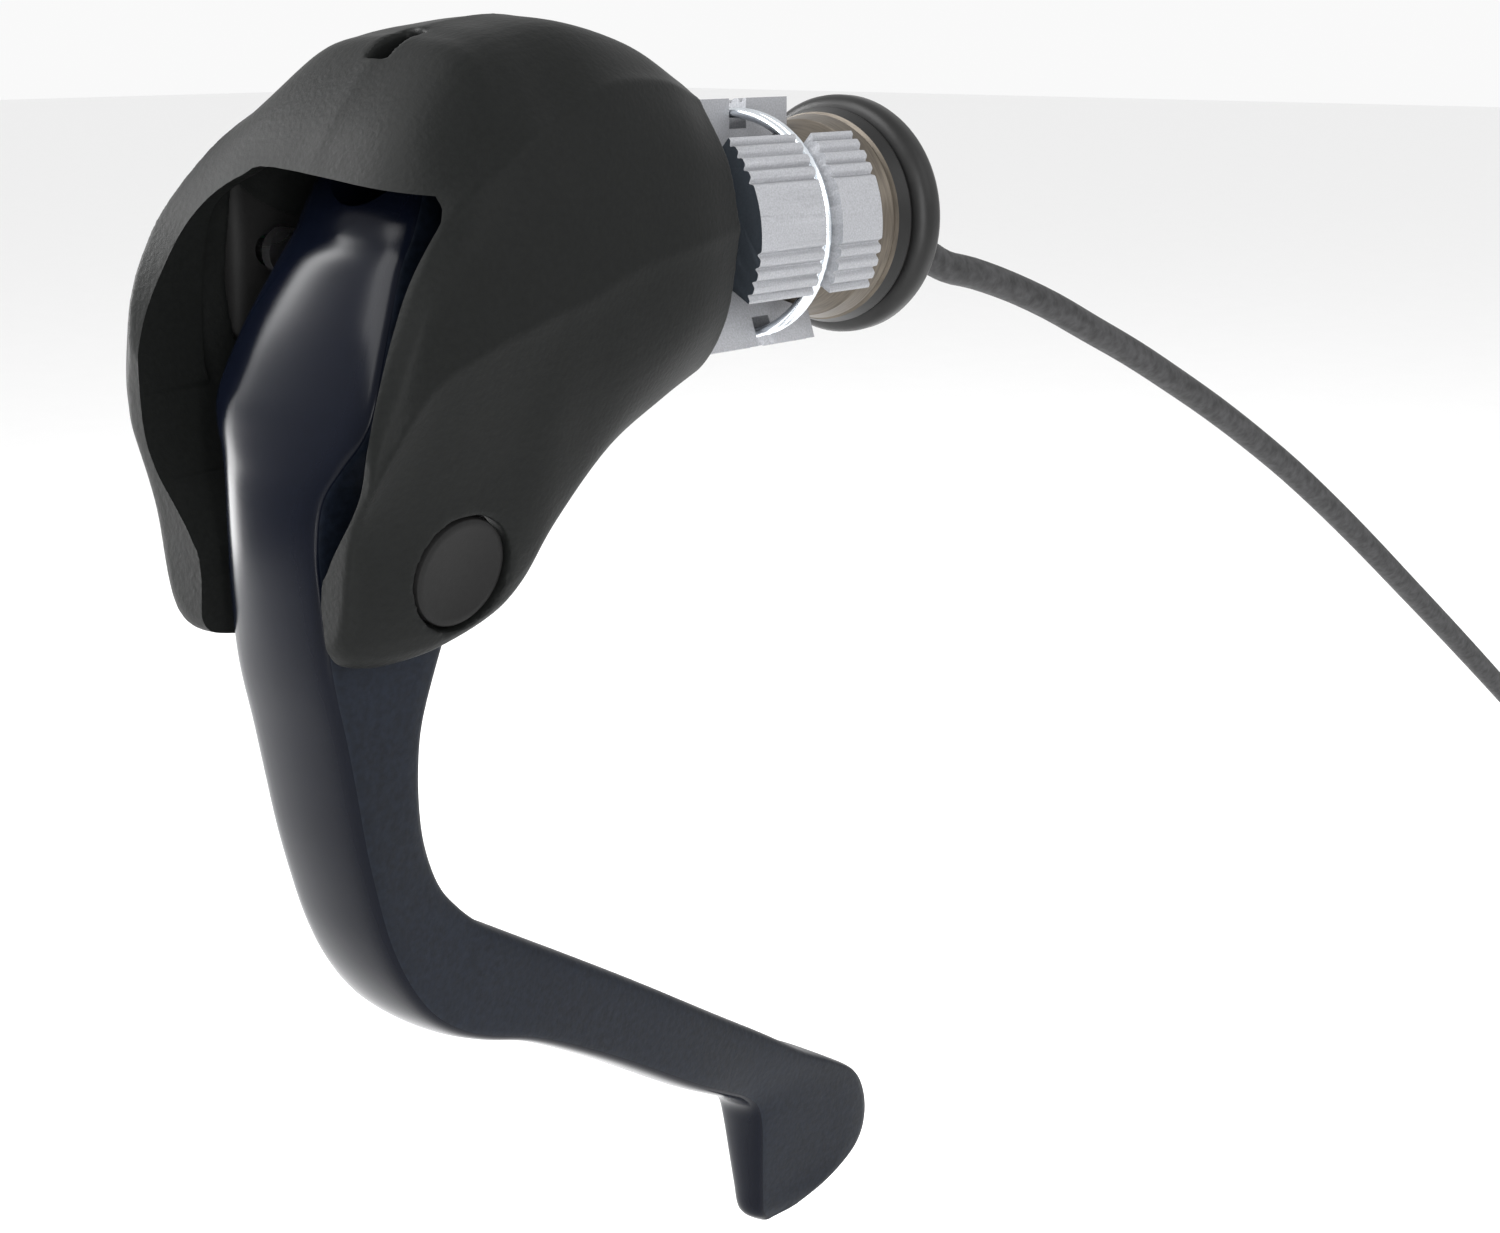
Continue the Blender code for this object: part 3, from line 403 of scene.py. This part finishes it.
def make_materials():
    return {
        "hood": surface("hood_rubber", (0.0056, 0.0061, 0.0059), 0.5, specular=0.08, speckle=0.10,
                        speckle_scale=2600, grain=0.035, grain_scale=2600, broad=0.06),
        "bracket": surface("bracket_composite", (0.008, 0.008, 0.009), 0.42, specular=0.25, speckle=0.1,
                           grain=0.01, grain_scale=1800),
        "cap": surface("cap_plastic", (0.009, 0.009, 0.009), 0.5, specular=0.1, speckle=0.06,
                       speckle_scale=3000, grain=0.012, grain_scale=3500, broad=0.05),
        "cone_plastic": surface("cone_plastic", (0.005, 0.005, 0.006), 0.3, specular=0.25,
                                speckle=0.1, grain=0.01),
        "gloss": surface("blade_gloss", (0.0018, 0.0026, 0.0058), 0.2, specular=0.09, speckle=0.05,
                         rough_spread=0.03, broad=0.08),
        "satin": surface("blade_satin", (0.0038, 0.0056, 0.0098), 0.42, specular=0.12, speckle=0.30,
                         speckle_scale=2200, grain=0.03, grain_scale=1700, broad=0.2),
        "steel": surface("bright_steel", (0.55, 0.55, 0.56), 0.28, 1.0, grain=0.004,
                         grain_scale=1500, stretch=(0.2, 1, 1), broad=0.06),
        "bronze": surface("bush_bronze", (0.40, 0.27, 0.14), 0.38, 1.0, grain=0.004),
        "segment": surface("blasted_aluminium", (0.27, 0.275, 0.29), 0.5, 0.3, specular=0.25, speckle=0.14,
                           speckle_scale=7000, grain=0.02, grain_scale=6000, broad=0.03),
        # painted shade: a dark copy of the blasted aluminium for the segments' front end faces, which lie in
        # the hood's shadow
        "segment_end_painted_shade": surface("segment_end_painted_shade", (0.03, 0.036, 0.044), 0.45, 0.3, specular=0.25,
                               speckle=0.1, speckle_scale=5000),
        "ring": surface("zinc_wire", (0.66, 0.70, 0.74), 0.2, 1.0, speckle=0.05, broad=0.1),
        "cone": surface("brown_cone", (0.085, 0.072, 0.057), 0.42, 0.6, speckle=0.25,
                        speckle_scale=1600, grain=0.02, grain_scale=1600, stretch=(4, 0.3, 0.3)),
        "rim": surface("rim_rubber", (0.006, 0.006, 0.006), 0.38, specular=0.25, speckle=0.1,
                       grain=0.012, grain_scale=1500),
        "button": surface("button_plastic", (0.045, 0.045, 0.047), 0.5, speckle=0.08,
                          speckle_scale=2800, grain=0.02, grain_scale=2800, broad=0.05),
        "board": surface("board_green", (0.015, 0.09, 0.04), 0.3, speckle=0.1),
        "wire": surface("wire_sleeve", (0.026, 0.026, 0.027), 0.62, specular=0.25, speckle=0.45,
                        speckle_scale=1100, grain=0.05, grain_scale=1300, broad=0.2),
        "plug": surface("plug_plastic", (0.018, 0.018, 0.018), 0.35, speckle=0.06, grain=0.008),
    }


# ---- camera, floor and light ----------------------------------------------------------------
def camera():
    data = bpy.data.cameras.new("camera")
    data.lens = CAMERA_LENS
    data.sensor_width = 36.0
    data.clip_start, data.clip_end = 0.01, 50.0
    cam = add(bpy.data.objects.new("camera", data))
    back = Vector((math.sin(CAMERA_TURN) * math.cos(CAMERA_DROP),
                   -math.cos(CAMERA_TURN) * math.cos(CAMERA_DROP), math.sin(CAMERA_DROP)))
    cam.location = Vector(CAMERA_PLACE) * MM
    cam.rotation_euler = back.to_track_quat("Z", "Y").to_euler()
    bpy.context.scene.camera = cam


def light(name, place, size, power):
    data = bpy.data.lights.new(name, "AREA")
    data.shape = "RECTANGLE"
    data.size, data.size_y = size
    data.energy = power
    lamp = add(bpy.data.objects.new(name, data))
    lamp.location = place
    aim = LIGHT_AIM - Vector(place)
    lamp.rotation_euler = aim.to_track_quat("-Z", "Y").to_euler()


def stage():
    world = bpy.data.worlds.new("world")
    bpy.context.scene.world = world
    world.use_nodes = True
    world.node_tree.nodes["Background"].inputs["Color"].default_value = (1, 1, 1, 1)
    world.node_tree.nodes["Background"].inputs["Strength"].default_value = 0.95
    bpy.context.scene.view_settings.view_transform = "Standard"
    light("top_front", (-0.32, 0.12, 0.42), (0.35, 0.35), 3.2)
    light("near_front", (-0.24, -0.46, 0.02), (0.05, 0.5), 1.4)
    light("low_front", (-0.34, -0.36, -0.02), (0.04, 0.5), 1.4)
    light("far_front", (-0.15, 0.42, 0.06), (0.12, 0.5), 4.0)
    light("side", (0.22, -0.45, 0.25), (0.3, 0.3), 0.6)
    bm = bmesh.new()
    bmesh.ops.create_grid(bm, x_segments=1, y_segments=1, size=4000)
    bmesh.ops.translate(bm, vec=(0, 0, CAD_BOX[0][2] / MM - FLOOR_BELOW), verts=bm.verts)
    floor = mesh_object("floor", bm)
    floor.data.materials.append(surface("floor_white", (0.9, 0.9, 0.9), 0.9, broad=0.004, specular=0.1))


# ---- cord -----------------------------------------------------------------------------------
def poly_curve(name, points, radius):
    curve = bpy.data.curves.new(name, "CURVE")
    curve.dimensions = "3D"
    curve.bevel_depth = radius * MM
    curve.bevel_resolution = 4
    curve.use_fill_caps = True
    spline = curve.splines.new("POLY")
    spline.points.add(len(points) - 1)
    for point, place in zip(spline.points, points):
        point.co = (*[v * MM for v in place], 1.0)
    spline.use_smooth = True
    return add(bpy.data.objects.new(name, curve))


def coil_point(degrees, centre):
    """A point on the wound bundle; the turns swap places evenly as they go round."""
    around = math.radians(degrees)
    within = math.radians(BUNDLE_LAST + (degrees - COIL_LAST) / 4)
    radius = COIL_RADIUS + COIL_OFFSET * math.cos(within)
    return (centre.x + radius * math.sin(around), centre.y + COIL_OFFSET * math.sin(within),
            centre.z + radius * math.cos(around))


def make_cord(mats):
    centre = middle_of("wire_coil")
    inner = poly_curve("wire_inside", through_points(INNER_ROUTE, 3), WIRE / 2)
    dress(inner, mats["wire"], "bracket", ["shift_wire"])
    turns = [coil_point(d, centre) for d in range(COIL_FIRST, COIL_LAST + 1, COIL_STEP)]
    plug_low, plug_high = in_mm("wire_plug")
    plug_y, plug_z = (plug_low.y + plug_high.y) / 2, (plug_low.z + plug_high.z) / 2
    ending = [(centre.x + 14.4, -4.3, centre.z - 5.0), (centre.x + 12.6, -6.3, centre.z - 7.6),
              (plug_high.x + 1.6, plug_y, plug_z + 0.1), (plug_high.x - 0.6, plug_y, plug_z)]
    points = through_points(FREE_ROUTE, 3) + through_points(turns + ending, 2)
    cord = poly_curve("wire_lead", points, WIRE / 2)
    dress(cord, mats["wire"], "bracket", ["shift_wire", "wire_coil"])

    profile = [(0, 0), (0, 1.7), (0.3, 2.0), (4.6, 2.0), (4.6, 2.6), (5.0, 2.9), (9.4, 2.9),
               (9.8, 2.5), (10.4, 2.5), (10.8, 2.9), (11.4, 2.9), (11.8, 2.5), (12.4, 2.5),
               (12.8, 2.9), (13.6, 2.7), (15.9, 1.75), (15.9, 0)]
    plug = turned("wire_plug_body", profile, (plug_low.x, plug_y, plug_z), steps=48, whole=False)
    shade(dress(plug, mats["plug"], "bracket", ["wire_plug"]))
    tie_low, tie_high = in_mm("wire_tie")
    tie_middle = (tie_low + tie_high) / 2
    outer = (tie_high.z - tie_low.z) / 2
    band = [(-1.4, outer - 0.75), (-1.4, outer - 0.1), (-1.2, outer), (1.2, outer),
            (1.4, outer - 0.1), (1.4, outer - 0.75)]
    tie = turned("wire_tie_band", band, tie_middle, steps=64)
    shade(dress(tie, mats["plug"], "bracket", ["wire_tie"]))


# ---- hood -----------------------------------------------------------------------------------
def creased(points, corners):
    """The points, with a neighbour close by on both sides of each corner, which makes it crisp."""
    crisp = []
    for i, point in enumerate(points):
        if i not in corners:
            crisp.append(point)
            continue
        for other, share in ((points[i - 1], CREASE_REACH), (point, 0.0),
                             (points[i + 1], CREASE_REACH)):
            crisp.append(tuple(a + (b - a) * share for a, b in zip(point, other)))
    return crisp


def hood_ring(section, inset, steps):
    """One closed section of the hood, as (y, z) points.  Shrunk by inset, it has no creases."""
    top, bottom, rise, widen = section[1], section[12], section[13], section[14]
    near = list(zip(section[2:12:2], section[3:12:2]))
    far = [(y + widen, z + rise * share) for (y, z), share in zip(near, FAR_SHARES)]
    ring = []
    for sign, side in ((1, far), (-1, near)):
        crown = (0.56 * side[0][0], top - 0.17 * (top - side[0][1]))
        half = [(0.0, top), crown, *side, (0.5 * side[-1][0], bottom), (0.0, bottom)]
        smooth = through_points(half if inset else creased(half, CREASED), steps)
        shrunk = []
        for i, (y, z) in enumerate(smooth):
            y0, z0 = smooth[max(i - 1, 0)]
            y1, z1 = smooth[min(i + 1, len(smooth) - 1)]
            run = Vector((y1 - y0, z1 - z0)).normalized()
            shrunk.append((sign * max(y + inset * run.y, 0.0), z - inset * run.x))
        shrunk[0], shrunk[-1] = (0.0, top - inset), (0.0, bottom + inset)
        ring += shrunk if sign > 0 else list(reversed(shrunk[1:-1]))
    return ring


def hood_form(name, inset, front, rear):
    flat = [[x, top, *shoulder, *flank, *ridge, *cheek, *foot, bottom, rise, widen]
            for x, top, shoulder, flank, ridge, cheek, foot, bottom, rise, widen in HOOD_SECTIONS]
    stations = [s for s in through_points(flat, 6) if front <= s[0] <= rear]
    bm = bmesh.new()
    skin(bm, [[(s[0], y, z) for y, z in hood_ring(s, inset, 6)] for s in stations])
    return mesh_object(name, bm)


def make_hood(mats):
    hood = hood_form("hood_shell", 0.0, *HOOD_REACH)
    inside = hood_form("inside", HOOD_WALL, *INSIDE_REACH)
    remeshed(inside, INSIDE_VOXEL, 0)
    cut(hood, inside, rod("rear_hole", (-4, 0, 0), (2, 0, 0), REAR_HOLE))
    for side in (-1, 1):
        way = Vector((0, side * math.cos(CAP_DRAFT), -math.sin(CAP_DRAFT)))
        seat = Vector((PIVOT.x, side * CAP_SEAT, PIVOT.z))
        cut(hood, rod("cap_hole", seat - 4.5 * way, seat + 5 * way, CAP_HOLE, 64))
    low, high = in_mm("switch_housing")
    cut(hood, block("pod_room", (low.x + 0.15, low.y - 0.1, low.z + 0.15),
                    (high.x - 0.15, 20, high.z - 0.15)))
    slot = block("top_slot", [-v for v in SLOT_HALF], SLOT_HALF)
    slot.data.transform(Matrix.Translation(Vector(SLOT_MIDDLE) * MM)
                        @ Matrix.Rotation(SLOT_TILT, 4, "Y"))
    cut(hood, slot)
    stop = middle_of("cable_stop")
    way = Vector((math.cos(HOUSING_DROP), 0, -math.sin(HOUSING_DROP)))
    cut(hood, rod("housing_hole", stop + 4.5 * way, stop + 14 * way, HOUSING_HOLE))
    remeshed(hood, HOOD_VOXEL, HOOD_SOFTENING)
    mouth = [tuple(point) for point in through_points(MOUTH + MOUTH[:1], 4)[:-1]]
    cut(hood, prism("mouth", mouth, *MOUTH_REACH))
    dress(hood, mats["hood"], "bracket", ["bracket_cover"])
    shade(hood, 35)


def make_caps(mats):
    for side, name in ((-1, "near"), (1, "far")):
        way = (0, side * math.cos(CAP_DRAFT), -math.sin(CAP_DRAFT))
        profile = [(-0.55, 0), (-0.55, 3.8), (0.3, 3.8), (0.47, 3.72), (0.55, 3.55), (0.55, 3.2),
                   (0.48, 3.05), (0.48, 0)]
        cap = turned(f"cap_{name}", profile, (PIVOT.x, side * CAP_SEAT, PIVOT.z),
                     way, whole=False)
        shade(dress(cap, mats["cap"], "bracket", [f"axle_cap_{name}"]))


# ---- blade ----------------------------------------------------------------------------------
def make_blade(mats):
    rows = through_points([(*front, *rear, *halves) for front, rear, *halves in BLADE], 5)
    bm = bmesh.new()
    rings = []
    for fx, fz, rx, rz, front_half, rear_half in rows:
        front, rear = Vector((fx, 0, fz)), Vector((rx, 0, rz))
        depth = (rear - front).length
        way = (rear - front) / depth
        share = min(1.0, depth / BLADE_FULL)
        side = [(front + way * d * share, y * front_half) for d, y in BLADE_FRONT]
        side += [(rear - way * d * share, y * rear_half) for d, y in BLADE_REAR]
        ring = [(p.x, -y, p.z) for p, y in side]
        rings.append(ring + [(p.x, y, p.z) for p, y in reversed(side[1:-1])])
    skin(bm, rings)
    bmesh.ops.recalc_face_normals(bm, faces=bm.faces)
    count = len(rings[0])
    bm.faces.ensure_lookup_table()
    for i, face in enumerate(bm.faces):
        place = i % count
        front_side = place < GLOSS_SPANS or place >= count - GLOSS_SPANS
        face.material_index = 0 if front_side and i < count * (len(rings) - 1) else 1
    blade = mesh_object("blade_body", bm)
    for mat in (mats["gloss"], mats["satin"]):
        blade.data.materials.append(mat)
    subdivision = blade.modifiers.new("smooth", "SUBSURF")
    subdivision.levels = subdivision.render_levels = 1
    applied(blade)
    cut(blade, rod("pivot_bore", (PIVOT.x, -12, PIVOT.z), (PIVOT.x, 12, PIVOT.z), PIVOT_BORE),
        rod("anchor_bore", (ANCHOR.x, -12, ANCHOR.z), (ANCHOR.x, 12, ANCHOR.z), ANCHOR_BORE),
        block("cable_way", *CABLE_WAY),
        rod("top_scoop", (-32, 0, SCOOP_Z), (-19, 0, SCOOP_Z), SCOOP_RADIUS, 64))
    while len(blade.data.materials) > 2:
        blade.data.materials.pop()
    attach(blade, "lever")
    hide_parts("lever_blade")
    shade(blade, 40)


# ---- clamping plug --------------------------------------------------------------------------
def segment_outline(middle):
    """End view of a segment: rounded ribs along both sides, a smooth stretch between them."""
    start = middle - SEGMENT_SPAN / 2
    ribbed = RIBS * RIB_PITCH
    outer = []
    for i in range(OUTER_STEPS + 1):
        at = SEGMENT_SPAN * i / OUTER_STEPS
        edge = min(at, SEGMENT_SPAN - at)
        dip = 0.0
        if edge < ribbed:
            dip = RIB_DEPTH * (0.5 - 0.5 * math.cos(math.tau * edge / RIB_PITCH)) ** 3
        outer.append((at, SEGMENT_RADIUS - dip))
    inner = [(SEGMENT_SPAN * i / INNER_STEPS, SEGMENT_INNER) for i in range(INNER_STEPS, -1, -1)]
    return [(-r * math.cos(start + a), r * math.sin(start + a)) for a, r in outer + inner]


def make_segments(mats):
    low, high = in_mm("clamp_segment_1")
    front, rear = low.x, high.x
    middle_x = (front + rear) / 2
    ring_x = middle_of("clamp_ring").x
    end_radius = CONE_BIG - CONE_TAN * (front - FRONT_CONE_X) + SEGMENT_SLACK
    middle_radius = CONE_BIG - CONE_TAN * (middle_x - FRONT_CONE_X) + SEGMENT_SLACK
    hollow = [(front - 1, 0), (front - 1, end_radius + CONE_TAN), (middle_x, middle_radius),
              (rear + 1, end_radius + CONE_TAN), (rear + 1, 0)]
    groove = [(ring_x - GROOVE_HALF, GROOVE_RADIUS), (ring_x - GROOVE_HALF, 12),
              (ring_x + GROOVE_HALF, 12), (ring_x + GROOVE_HALF, GROOVE_RADIUS)]
    for number, middle in enumerate(SEGMENT_MIDDLES, 1):
        segment = prism(f"segment_{number}", segment_outline(middle), front, rear)
        cut(segment, turned("hollow", hollow, whole=False), turned("groove", groove))
        rounded(segment, 0.13, 2, 50)
        dress(segment, [mats["segment"], mats["segment_end_painted_shade"]], f"segment_{number}",
              [f"clamp_segment_{number}"])
        # painted shade: the front end faces get the dark copy of the aluminium, standing for the hood's
        # shadow on them
        paint(segment, lambda face: face.normal.x < -0.8 and face.center.x < (low.x + 0.6) * MM)
        shade(segment, 50)
    low, high = in_mm("clamp_ring")
    radius = (high.z - low.z) / 2 - RING_WIRE / 2
    points = []
    for i in range(RING_STEPS + 1):
        angle = RING_START + math.tau * RING_TURNS * i / RING_STEPS
        along = ring_x + (i / RING_STEPS - 0.5) * RING_WIRE * RING_TURNS
        points.append((along, radius * math.cos(angle), radius * math.sin(angle)))
    ring = poly_curve("ring_wire", points, RING_WIRE / 2)
    dress(ring, mats["ring"], "ring", ["clamp_ring"])


def make_rear(mats):
    low, high = in_mm("rear_rim")
    outer = (high.z - low.z) / 2
    x0, x1 = low.x, high.x
    rim = [(x0, outer - 1.35), (x0 + 0.05, outer - 0.75), (x0 + 0.35, outer - 0.3),
           (x0 + 0.8, outer - 0.04), (x0 + 1.3, outer), (x1 - 0.8, outer - 0.04),
           (x1 - 0.35, outer - 0.22), (x1 - 0.08, outer - 0.6), (x1, outer - 1.1),
           (x1, outer - 1.35)]
    shade(dress(turned("rim_lip", rim), mats["rim"], "cone", ["rear_rim"]), 60)
    low, high = in_mm("rear_cone")
    slim_x, end_x = low.x, high.x
    slim = CONE_BIG - CONE_TAN * (REAR_CONE_X - slim_x)
    cone = [(slim_x, 3.6), (slim_x, slim), (REAR_CONE_X, CONE_BIG),
            (REAR_CONE_X + 0.2, CONE_BIG + 0.2),
            (21.0, 8.15), (21.15, 8.0), (21.35, 8.0), (BLACK_X, 8.3), (22.6, 8.65), (22.8, 8.6),
            (22.8, 8.0), (end_x - 0.3, 8.0), (end_x, 7.7), (end_x, 3.6)]
    cone_piece = turned("cone_body", cone)
    dress(cone_piece, [mats["cone"], mats["rim"]], "cone", ["rear_cone"])
    paint(cone_piece, lambda face: face.center.x > BLACK_X * MM)
    shade(cone_piece, 25)


# ---- switches -------------------------------------------------------------------------------
def make_switches(mats):
    low, high = in_mm("switch_housing")
    housing = block("switch_box", low, high)
    rounded(housing, 1.2, 4)
    upper_low, upper_high = in_mm("shift_button_upper")
    lower_low, lower_high = in_mm("shift_button_lower")
    board_low, _ = in_mm("circuit_board")
    room = block("room", (upper_low.x - 0.4, board_low.y - 0.3, lower_low.z - 0.3),
                 (upper_high.x + 0.4, 22, upper_high.z + 0.3))
    cut(housing, rounded(room, 0.7, 3))
    for name in ("pod_screw_front", "pod_screw_rear"):
        screw = middle_of(name)
        cut(housing, rod("pilot", (screw.x, low.y - 1, screw.z), (screw.x, board_low.y, screw.z), 1.1))
    shade(dress(housing, mats["cap"], "bracket", ["switch_housing"]))
    for name, (b_low, b_high) in (("upper", (upper_low, upper_high)),
                                  ("lower", (lower_low, lower_high))):
        button = block(f"button_{name}_cap", b_low, b_high)
        rounded(button, 0.7, 4)
        for i in range(FINGER_GROOVES):
            x, y = b_low.x + FINGER_FIRST + FINGER_PITCH * i, b_high.y + FINGER_LIFT
            cut(button, rod("finger_groove", (x, y, b_low.z + FINGER_END),
                            (x, y, b_high.z - FINGER_END), FINGER_RADIUS, 20))
        rounded(button, 0.08, 2, 40)
        dress(button, mats["button"], f"button_{name}", [f"shift_button_{name}"])
        shade(button, 40)


# ---- CAD nodes that stay --------------------------------------------------------------------
KEPT = {
    "bracket_core": "bracket", "pivot_axle": "steel", "lever_spring": "steel",
    "cable_stop": "steel", "front_cone": "cone_plastic", "bolt_washer": "steel",
    "clamp_bolt": "steel", "circuit_board": "board", "switch_dome_upper": "steel",
    "switch_dome_lower": "steel", "pod_screw_front": "steel", "pod_screw_rear": "steel",
    "lever_bush_near": "bronze", "lever_bush_far": "bronze", "cable_anchor": "steel",
    "wire_grommet": "rim",
}


def dress_nodes(mats):
    for name, key in KEPT.items():
        node = nodes[name]
        node.data.materials.clear()
        node.data.materials.append(mats[key])


camera()
stage()
materials = make_materials()
make_cord(materials)
dress_nodes(materials)
make_hood(materials)
make_caps(materials)
make_blade(materials)
make_segments(materials)
make_rear(materials)
make_switches(materials)
